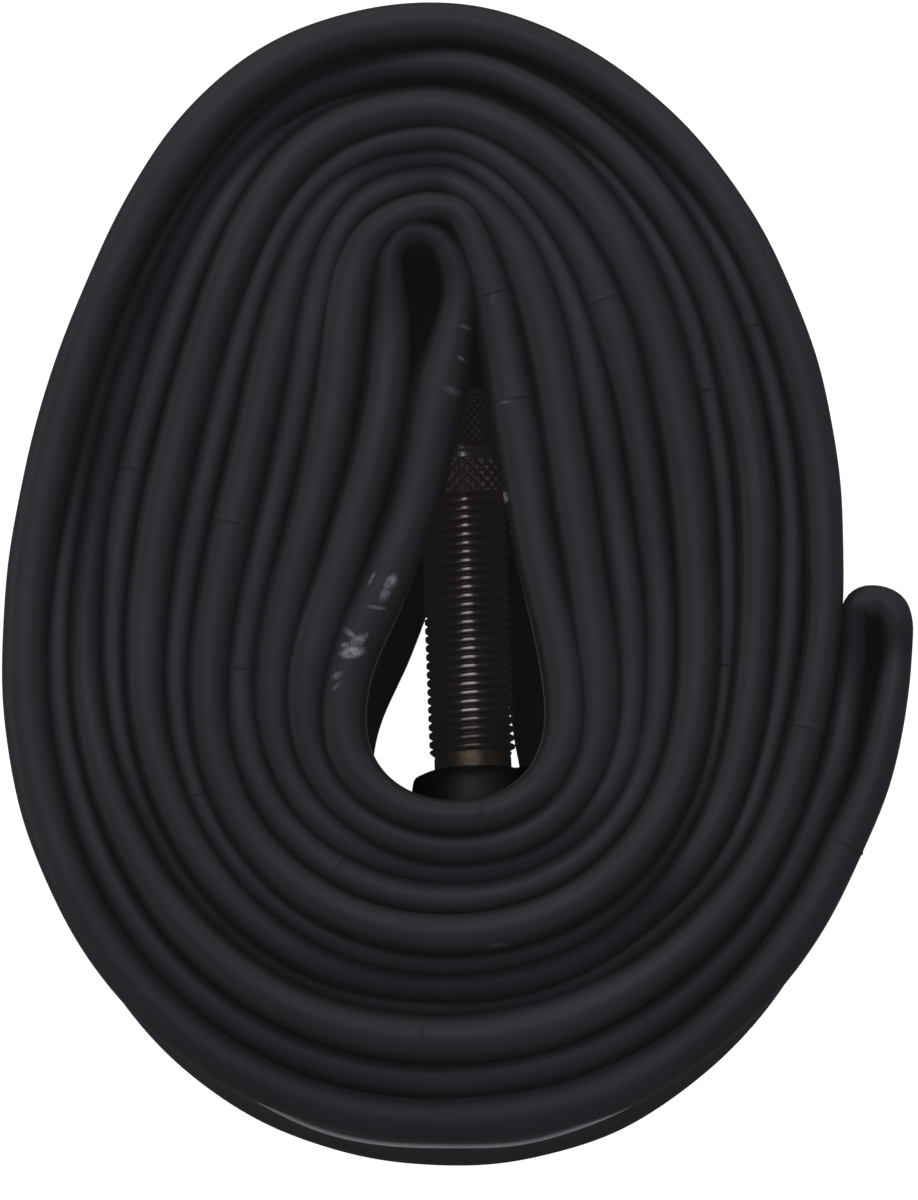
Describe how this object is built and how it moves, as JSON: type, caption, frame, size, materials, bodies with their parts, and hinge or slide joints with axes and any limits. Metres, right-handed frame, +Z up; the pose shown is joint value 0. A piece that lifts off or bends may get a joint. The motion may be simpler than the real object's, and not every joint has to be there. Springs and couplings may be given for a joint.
{
  "type": "inner tube",
  "caption": "Deflated rubber bicycle inner tube, folded double and rolled up flat round its threaded valve stem with union nut and dust cap.",
  "frame": {"origin": "on the surface the roll stands on, under the middle of the roll's bounding box", "axes": "+Z up along the axis of the roll, +Y the way the valve stem points"},
  "size_m": [0.0762, 0.098, 0.044],
  "materials": {
    "tube_rubber": "satin",
    "boss_rubber": "matte",
    "sleeve_rubber": "matte",
    "stem_metal": "blackened, worn bright at the crests",
    "plug_metal": "plated",
    "nut_metal": "blackened",
    "cap_metal": "knurled, plated"
  },
  "bodies": {
    "tube": {"tube_body": "tube_rubber", "valve_base": "boss_rubber", "valve_stem": "stem_metal"},
    "core": {"core_plug": "plug_metal", "core_sleeve": "sleeve_rubber"},
    "nut": {"union_nut": "nut_metal"},
    "seal": {"cap_seal": "sleeve_rubber"},
    "cap": {"dust_cap": "cap_metal"}
  },
  "joints": [
    {"name": "core_lift", "type": "slide", "parent": "tube", "child": "core", "axis": [0, 1, 0], "range_m": [0, 0.00159]},
    {"name": "nut_turn", "type": "hinge", "parent": "core", "child": "nut", "pos_m": [0.00084, 0.01009, 0.022], "axis": [0, 1, 0], "range_deg": [0, 720]},
    {"name": "cap_lift", "type": "slide", "parent": "core", "child": "seal", "axis": [0, 1, 0], "range_m": [0, 0.00397]},
    {"name": "cap_turn", "type": "hinge", "parent": "seal", "child": "cap", "pos_m": [0.00084, 0.01579, 0.022], "axis": [0, 1, 0], "range_deg": [0, 1800]}
  ],
  "couplings": [
    {"joint": "nut_turn", "follows": "core_lift", "rad_per_m": 7913.3},
    {"joint": "cap_turn", "follows": "cap_lift", "rad_per_m": 7913.3}
  ]
}
